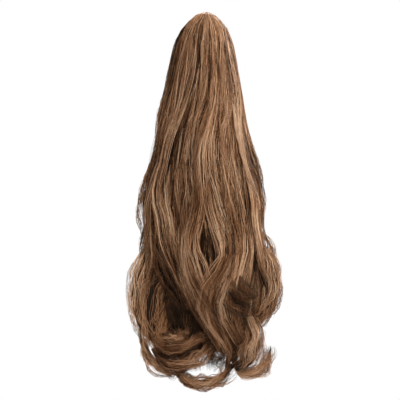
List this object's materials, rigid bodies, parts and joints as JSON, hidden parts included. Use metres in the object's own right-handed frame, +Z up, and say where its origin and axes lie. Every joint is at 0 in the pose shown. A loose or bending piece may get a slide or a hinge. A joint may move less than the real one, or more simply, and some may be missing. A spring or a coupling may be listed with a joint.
{
  "type": "claw clip ponytail hairpiece",
  "caption": "Long ponytail hairpiece of wavy light-brown hair with curled ends, sewn to a hidden claw clip that grips gathered hair.",
  "frame": {"origin": "middle of the hollow between the clip's jaws, where the wearer's gathered hair is gripped", "axes": "+Z up, -Y the side that shows when worn, +Y towards the wearer's head, +X along the clip to the viewer's right"},
  "size_m": [0.1987, 0.0856, 0.4991],
  "materials": {
    "clip": "moulded, satin",
    "weft": "sewn band, matt",
    "hair": "silky fibre"
  },
  "bodies": {
    "root": {"claw_clip": "clip", "upper_weft": "weft", "lower_weft": "weft", "front_hair": "hair", "back_hair": "hair"}
  },
  "joints": []
}
